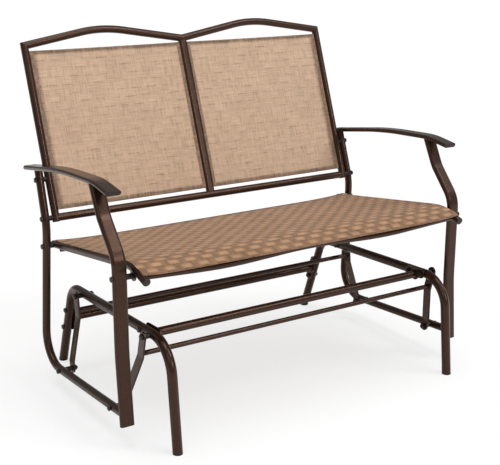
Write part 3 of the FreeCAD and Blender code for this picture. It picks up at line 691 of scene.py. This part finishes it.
def woven_cloth(name, tint, sizes, contrast, dash_depth, edge_shade):
    """Coated-yarn cloth: pale weft floats laid like bricks, with thin dark dashes between them."""
    shader = Shader(name)
    uv = shader.node("ShaderNodeUVMap", uv_map="UVMap").outputs[0]
    parts = shader.feed(shader.node("ShaderNodeSeparateXYZ"), {0: uv})
    across, along = parts.outputs[0], parts.outputs[1]

    turns = 2 * math.pi / sizes.thread_pitch
    weave = shader.sum("MULTIPLY", shader.sum("SINE", shader.sum("MULTIPLY", across, turns)),
                       shader.sum("SINE", shader.sum("MULTIPLY", along, turns)))
    weft_float, dash, chance = float_bricks(shader, across, along, sizes)

    cloud = shader.noise(uv, scale=14.0, detail=2.0)
    tone = shader.spread(cloud, *NOISE_SPAN, -CLOUD_DEPTH, CLOUD_DEPTH)
    yarns = yarn_marks(shader, uv, weft_float)
    tone = shader.sum("ADD", tone, shader.sum("MULTIPLY", yarns, YARN_DEPTH))
    tone = shader.sum("ADD", tone, shader.spread(
        weft_float, 0.0, 1.0, -DARK_BETWEEN_FLOATS * contrast, contrast))
    tone = shader.sum("SUBTRACT", tone, shader.sum("MULTIPLY", dash, dash_depth))
    uneven = CHANCE_DEPTH + CHANCE_DEPTH_FOR_CONTRAST * contrast
    tone = shader.sum("ADD", tone, shader.spread(chance, 0.0, 1.0, -uneven, uneven))
    tone = shader.sum("ADD", tone, shader.sum("MULTIPLY", weave, WEAVE_DEPTH))
    # Painted shade: the tone is lowered by edge_shade wherever the cloth lies doubled, so the hems and
    # the side sleeves by the tubes come out darker
    doubled = shader.node("ShaderNodeAttribute", attribute_name="doubled").outputs["Fac"]
    tone = shader.sum("SUBTRACT", tone, shader.sum("MULTIPLY", doubled, edge_shade))

    pale = colour([part * factor for part, factor in zip(tint, PALE_YARN)])
    dark = colour([part * factor for part, factor in zip(tint, DARK_YARN)])
    base = shader.mixed(shader.spread(tone, 0.0, 0.8, 0.0, 1.0), colour(tint), pale)
    base = shader.mixed(shader.spread(tone, -0.6, 0.0, 1.0, 0.0), base, dark)
    height = shader.sum("ADD", weave, shader.sum("MULTIPLY", dash, -0.8))
    relief = shader.bump(height, distance=sizes.thickness * 0.3, strength=0.6)
    rough = shader.spread(weave, -1.0, 1.0, 0.78, 0.62)
    return shader.finish(Base_Color=base, Roughness=rough, Normal=relief, Sheen_Weight=0.12,
                         Sheen_Roughness=0.5, Specular_IOR_Level=0.3)


def paint_node(node, material):
    """Give a frame node one material in every slot."""
    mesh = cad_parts[node].data
    if not mesh.materials:
        mesh.materials.append(material)
    for place in range(len(mesh.materials)):
        mesh.materials[place] = material


def paint(piece, material):
    """Give a new piece one material."""
    piece.data.materials.clear()
    piece.data.materials.append(material)


# Operators, one for each group of like pieces

class GLIDER_OT_frame_paint(bpy.types.Operator):
    """Paint the frame's tubes, plates and links, its plastic pieces and its fasteners"""

    bl_idname = "glider.frame_paint"
    bl_label = "Paint the frame"

    def execute(self, context):
        finish = context.scene.glider_finish
        groups = (
            (COAT_NODES, powder_coat(finish)),
            (PLASTIC_NODES, moulded_plastic("black_plastic", finish.plastic_colour)),
            (BROWN_PLASTIC_NODES, moulded_plastic("brown_plastic", finish.brown_colour)),
            (STEEL_NODES, black_steel(finish)),
        )
        for nodes, material in groups:
            for node in nodes:
                paint_node(node, material)
        return {"FINISHED"}


class GLIDER_OT_weld_beads(bpy.types.Operator):
    """Lay a weld bead round both ends of the link rods and of the crossbars' tubes"""

    bl_idname = "glider.weld_beads"
    bl_label = "Weld beads"

    ripple_spacing = 0.0021

    def execute(self, context):
        finish = context.scene.glider_finish
        for node, body in (("front_link_rod", "front_swing_arm"), ("rear_link_rod", "rear_swing_arm")):
            low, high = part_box(node)
            centre = ((low[1] + high[1]) / 2, (low[2] + high[2]) / 2)
            self.lay(finish, node, body, (high[2] - low[2]) / 2, high[0], centre)
        self.lay(finish, "front_crossbar", "base", CROSSBAR_RADIUS, CROSSBAR_REACH, FRONT_CROSSBAR)
        self.lay(finish, "rear_crossbar", "base", CROSSBAR_RADIUS, CROSSBAR_REACH, REAR_CROSSBAR)
        return {"FINISHED"}

    def lay(self, finish, name, body, radius, reach, centre):
        """One bead at each end of a tube that runs from side to side."""
        ripples = round(2 * math.pi * radius / self.ripple_spacing)
        left = weld_bead(radius, finish.weld_radius, ripples)
        right = copied(left)
        for bead, side in ((left, -1), (right, 1)):
            bead.location = (side * reach, centre[0], centre[1])
            settle(bead)
        beads = joined([left, right], name + "_welds")
        paint(beads, bpy.data.materials["bronze_powder_coat"])
        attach(beads, body)


class GLIDER_OT_seat_cloth(bpy.types.Operator):
    """Stretch the seat cloth over its two rails, with a sewn hem in front and behind"""

    bl_idname = "glider.seat_cloth"
    bl_label = "Seat cloth"

    # The cloth's edges, as distances behind the front feet
    front_y = 0.048
    rear_y = 0.560
    row_pitch = 0.008

    # Length of the rails' line for each metre of its depth
    line_for_depth = 1.014

    # Gap between the cloth and a rail
    clear_of_rail = 0.0002

    # Distance behind a hem over which the cloth comes down to a single layer's height
    hem_slope = 0.01

    # Where the seam runs, as a share of the hem's width
    seam_share = 0.8

    # Steepness of the sags: the higher, the nearer to the rails the cloth rises
    sag_power = 8
    belly_power = 3

    def execute(self, context):
        sizes = context.scene.glider_cloth
        run = self.rear_y - self.front_y
        fold = Fold(run * self.line_for_depth, sizes.seat_hem, sizes.fold_radius)
        wrap_radius = TUBE_RADIUS + sizes.thickness / 2 + self.clear_of_rail
        wrap = sizes.wrap_angle * wrap_radius
        half_cut = SEAT_RAIL_X + wrap

        def carry(across, along):
            reach, depth = fold.place(along)
            share = reach / fold.run
            line, up = seat_line(self.front_y + share * run)
            past_hem = min(reach, fold.run - reach) - fold.hem
            hem_lift = 2 * sizes.fold_radius * (1 - min(1.0, max(0.0, past_hem / self.hem_slope)))
            radius = wrap_radius + hem_lift - depth
            if abs(across) > SEAT_RAIL_X:
                angle = (abs(across) - SEAT_RAIL_X) / wrap_radius
                outward = math.copysign(SEAT_RAIL_X + radius * math.sin(angle), across)
                return line + Vector((outward, 0, 0)) + up * (radius * math.cos(angle))
            part = abs(across) / SEAT_RAIL_X
            belly = sizes.seat_belly * math.sin(math.pi * min(1.0, max(0.0, share)))
            sag = (sizes.seat_sag + hem_lift) * (1 - part ** self.sag_power)
            sag += belly * (1 - part ** self.belly_power)
            return line + Vector((across, 0, 0)) + up * (radius - sag)

        # Doubled places get the weave's painted shade
        def doubled(across, along):
            return 1.0 if fold.doubled(along) else 0.0

        middle = [SEAT_RAIL_X * step / 30 for step in range(-28, 29)]
        edge = [SEAT_RAIL_X * step / 60 for step in (57, 58, 59, 59.6, 60)]
        edge += [SEAT_RAIL_X + wrap * step / 6 for step in range(1, 7)]
        columns = [-place for place in reversed(edge)] + middle + edge
        cloth = cloth_grid("seat_cloth", columns, fold.rows(self.row_pitch), carry, doubled)
        give_thickness(cloth, sizes.thickness)
        # The seat weave takes the seat colour, which has painted shade in it
        paint(cloth, woven_cloth("seat_weave", sizes.seat_shaded_colour, sizes, sizes.seat_contrast,
                                 sizes.seat_dash, sizes.seat_edge_shade))

        places = []
        seam = sizes.seat_hem * self.seam_share
        pitch = sizes.stitch_length + sizes.stitch_gap
        count = int(2 * half_cut / pitch)
        for along in (fold.hem + fold.turn + seam, fold.length - fold.hem - fold.turn - seam):
            for step in range(count):
                across = -half_cut + pitch * (step + 0.5)
                places.append(stitch_place(carry, across, along, sizes.thickness * STITCH_LIFT))
        seams = stitch_row("seat_cloth_stitches", places, sizes)
        # The seat's thread takes the seat colour, which has painted shade in it
        paint(seams, sewing_thread(sizes.seat_shaded_colour))

        for piece in (cloth, seams):
            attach(piece, "seat")
        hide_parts("seat_sling")
        return {"FINISHED"}


class GLIDER_OT_back_cloths(bpy.types.Operator):
    """Stretch a back cloth on each side of the centre post, with sewn edges all round"""

    bl_idname = "glider.back_cloths"
    bl_label = "Back cloths"

    # Heights of the cloths' edges
    low_z = 0.484
    high_z = 0.889
    row_pitch = 0.010

    # Width of a side sleeve as a share of the hem's, and its half thickness from the edge inwards
    strip_share = 0.8
    sleeve_rises = ((0.0, 0.0022), (0.0015, 0.0024), (0.0035, 0.0018))
    sleeve_slope = (0.6, 0.0012)
    sleeve_end = (1.0, 0.0010)

    # The upright seams: how far outside the sleeve's inner edge, and how high over the cloth
    seam_inset = 0.0015
    seam_lift = 0.0016

    # Steepness of the sag from side to side, and its share that is left at the top and bottom
    sag_power = 3
    end_sag = 0.55

    def execute(self, context):
        sizes = context.scene.glider_cloth
        weave = woven_cloth("back_weave", sizes.back_colour, sizes, sizes.back_contrast,
                            sizes.back_dash, sizes.back_edge_shade)
        thread = sewing_thread(sizes.back_colour)
        for name, side in (("left", -1), ("right", 1)):
            self.make(name, side, sizes, weave, thread)
        return {"FINISHED"}

    def make(self, name, side, sizes, weave, thread):
        """One back cloth with its sewn side sleeves and its stitches."""
        slant = math.sqrt(1 + BACK_RAKE ** 2)
        fold = Fold((self.high_z - self.low_z) * slant, sizes.back_hem, sizes.fold_radius)
        inner = POST_HALF_WIDTH
        width = BACK_HALF_WIDTH - BACK_TUBE_RADIUS - inner
        strip = sizes.back_hem * self.strip_share

        def carry(across, along):
            reach, depth = fold.place(along)
            line, normal = back_line(self.low_z + reach / slant)
            part = abs(2 * across / width - 1)
            middle = math.sin(math.pi * min(1.0, max(0.0, reach / fold.run)))
            sag = sizes.back_sag * (1 - part ** self.sag_power)
            sag *= self.end_sag + (1 - self.end_sag) * middle
            x = side * (inner + across)
            return line + Vector((x, 0, 0)) - normal * (sag + depth - sizes.fold_radius)

        # Doubled places, the side strips and the hems, get the weave's painted shade
        def doubled(across, along):
            at_side = min(across, width - across) < strip
            return 1.0 if at_side or fold.doubled(along) else 0.0

        edge_step = 0.0008
        edge = [0.0, strip * 0.5, strip - edge_step]
        middle = [strip + (width - 2 * strip) * step / 36 for step in range(37)]
        columns = edge + middle + [width - place for place in reversed(edge)]
        if side < 0:
            columns.reverse()
        cloth = cloth_grid("back_cloth_" + name, columns, fold.rows(self.row_pitch), carry, doubled)
        give_thickness(cloth, sizes.thickness)
        paint(cloth, weave)

        sleeves = joined([
            self.sleeve(carry, fold, 0.0, strip),
            self.sleeve(carry, fold, width, -strip),
        ], "back_cloth_sleeves_" + name)
        paint(sleeves, weave)

        places = []
        pitch = sizes.stitch_length + sizes.stitch_gap
        for along in (fold.hem + fold.turn + strip, fold.length - fold.hem - fold.turn - strip):
            for step in range(int((width - 2 * strip) / pitch)):
                across = strip + pitch * (step + 0.5)
                lift = sizes.thickness * STITCH_LIFT
                places.append(stitch_place(carry, across, along, lift, side))
        for across in (strip - self.seam_inset, width - strip + self.seam_inset):
            for step in range(int(fold.run / pitch)):
                along = fold.hem + fold.turn + pitch * (step + 0.5)
                places.append(stitch_place(carry, across, along, self.seam_lift, side, upright=True))
        seams = stitch_row("back_cloth_stitches_" + name, places, sizes)
        paint(seams, thread)

        for piece in (cloth, sleeves, seams):
            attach(piece, "seat")
        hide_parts("back_sling_" + name)

    def sleeve(self, carry, fold, edge, inward):
        """Doubled strip along a side edge, thick where it holds the bead against the tube."""
        front = list(self.sleeve_rises)
        for share, rise in (self.sleeve_slope, self.sleeve_end):
            front.append((share * abs(inward), rise))
        profile = front + [(reach, -rise) for reach, rise in reversed(front)]
        rings = 24
        step = 0.0005
        strip = extruded_ring(len(profile), rings)
        mesh = strip.data
        for vertex, (ring, corner) in zip(mesh.vertices, ring_places(mesh, len(profile))):
            along = fold.hem + fold.turn + fold.run * ring / rings
            reach, rise = profile[corner]
            across = edge + math.copysign(reach, inward)
            up = (carry(across, along + step) - carry(across, along - step)).normalized()
            normal = Vector((1, 0, 0)).cross(up).normalized()
            vertex.co = carry(across, along) + normal * rise
        layer = mesh.uv_layers.active.data
        for loop in mesh.loops:
            place = mesh.vertices[loop.vertex_index].co
            layer[loop.index].uv = (abs(place.x), place.z * math.sqrt(1 + BACK_RAKE ** 2))
        # Marking the whole sleeve as doubled gives it the weave's painted shade for doubled cloth
        mark = mesh.attributes.new("doubled", "FLOAT", "POINT")
        for vertex in mesh.vertices:
            mark.data[vertex.index].value = 1.0
        face_outwards()
        bpy.ops.object.shade_smooth_by_angle(angle=math.radians(60))
        return strip


class GLIDER_OT_studio(bpy.types.Operator):
    """Set up the pale floor, the soft lamps, the sky and the camera"""

    bl_idname = "glider.studio"
    bl_label = "Studio"

    def execute(self, context):
        sizes = context.scene.glider_studio
        self.floor(sizes)
        self.sky(sizes)
        self.lamp("left_lamp", sizes.left_strength, turn=(52, 0, -38), softness=24)
        self.lamp("front_lamp", sizes.front_strength, turn=(66, 0, 21), softness=13)
        self.lamp("right_lamp", sizes.right_strength, turn=(43, 0, 45), softness=20)
        self.lamp("top_lamp", sizes.top_strength, turn=(0, 0, 0), softness=44)
        self.camera(context, sizes)
        context.scene.view_settings.view_transform = "Standard"
        return {"FINISHED"}

    @staticmethod
    def floor(sizes):
        """Wide matt floor that the camera sees as plain paper."""
        deselect_all()
        bpy.ops.mesh.primitive_plane_add(size=2 * sizes.floor_reach)
        floor = named("studio_floor")
        shader = Shader("studio_paper")
        place = shader.node("ShaderNodeTexCoord").outputs["Object"]
        tone = shader.noise(place, scale=3.0, detail=2.0)
        base = shader.mixed(tone, colour(sizes.floor_colour, 0.995), colour(sizes.floor_colour, 1.005))
        paint(floor, shader.finish(Base_Color=base, Roughness=0.9, Specular_IOR_Level=0.0))
        paths = shader.node("ShaderNodeLightPath")
        seen = shader.sum(
            "MAXIMUM", paths.outputs["Is Camera Ray"], paths.outputs["Is Transmission Ray"])
        white = shader.feed(
            shader.node("ShaderNodeEmission"), {"Color": colour((1, 1, 1)), "Strength": 1.0})
        both = shader.feed(shader.node("ShaderNodeMixShader"), {
            0: shader.sum("MULTIPLY", seen, sizes.paper_white),
            1: shader.surface.outputs[0], 2: white.outputs[0]})
        shader.join(both.outputs[0], shader.tree.nodes["Material Output"].inputs["Surface"])

    @staticmethod
    def sky(sizes):
        """Even light from all round, which shows as white where it is seen."""
        world = bpy.data.worlds.new("studio_sky")
        bpy.context.scene.world = world
        world.use_nodes = True
        tree = world.node_tree
        paths = tree.nodes.new("ShaderNodeLightPath")
        seen = tree.nodes.new("ShaderNodeMath")
        seen.operation = "MAXIMUM"
        tree.links.new(paths.outputs["Is Camera Ray"], seen.inputs[0])
        tree.links.new(paths.outputs["Is Transmission Ray"], seen.inputs[1])
        strength = tree.nodes.new("ShaderNodeMapRange")
        tree.links.new(seen.outputs[0], strength.inputs[0])
        strength.inputs[3].default_value = sizes.sky_strength
        strength.inputs[4].default_value = 1.0
        tree.links.new(strength.outputs[0], tree.nodes["Background"].inputs["Strength"])
        tree.nodes["Background"].inputs["Color"].default_value = (1, 1, 1, 1)

    @staticmethod
    def lamp(name, strength, turn, softness):
        """Soft far-off lamp, with its three angles of turn and its width in degrees."""
        light = bpy.data.lights.new(name, "SUN")
        light.energy = strength
        light.angle = math.radians(softness)
        lamp = bpy.data.objects.new(name, light)
        lamp.rotation_euler = [math.radians(angle) for angle in turn]
        bpy.context.collection.objects.link(lamp)

    @staticmethod
    def camera(context, sizes):
        """Camera at the height and angle of the picture that the bench was built from."""
        lens = bpy.data.cameras.new("studio_camera")
        lens.sensor_width = 36
        lens.lens = sizes.lens
        lens.clip_end = 200
        camera = bpy.data.objects.new("studio_camera", lens)
        camera.location = sizes.camera_place
        camera.rotation_euler = Euler((math.pi / 2 - sizes.camera_dip, 0, -sizes.camera_turn))
        context.collection.objects.link(camera)
        context.scene.camera = camera


class GLIDER_PT_workshop(bpy.types.Panel):
    """Sidebar panel with the bench's operators and sizes"""

    bl_idname = "GLIDER_PT_workshop"
    bl_label = "Glider bench"
    bl_space_type = "VIEW_3D"
    bl_region_type = "UI"
    bl_category = "Glider bench"

    def draw(self, context):
        layout = self.layout
        for operator in OPERATORS:
            layout.operator(operator.bl_idname)
        scene = context.scene
        for group in (scene.glider_cloth, scene.glider_finish, scene.glider_studio):
            box = layout.box()
            for key in group.__annotations__:
                box.prop(group, key)


PROPERTIES = (ClothSizes, FrameFinish, StudioSizes)
OPERATORS = (
    GLIDER_OT_frame_paint, GLIDER_OT_weld_beads, GLIDER_OT_seat_cloth, GLIDER_OT_back_cloths,
    GLIDER_OT_studio,
)
CLASSES = PROPERTIES + OPERATORS + (GLIDER_PT_workshop,)


def register():
    for kind in CLASSES:
        bpy.utils.register_class(kind)
    bpy.types.Scene.glider_cloth = bpy.props.PointerProperty(type=ClothSizes)
    bpy.types.Scene.glider_finish = bpy.props.PointerProperty(type=FrameFinish)
    bpy.types.Scene.glider_studio = bpy.props.PointerProperty(type=StudioSizes)


def unregister():
    del bpy.types.Scene.glider_studio
    del bpy.types.Scene.glider_finish
    del bpy.types.Scene.glider_cloth
    for kind in reversed(CLASSES):
        bpy.utils.unregister_class(kind)


def main():
    """Run every operator in order."""
    register()
    bpy.ops.glider.frame_paint()
    bpy.ops.glider.weld_beads()
    bpy.ops.glider.seat_cloth()
    bpy.ops.glider.back_cloths()
    bpy.ops.glider.studio()


if __name__ == "__main__":
    main()
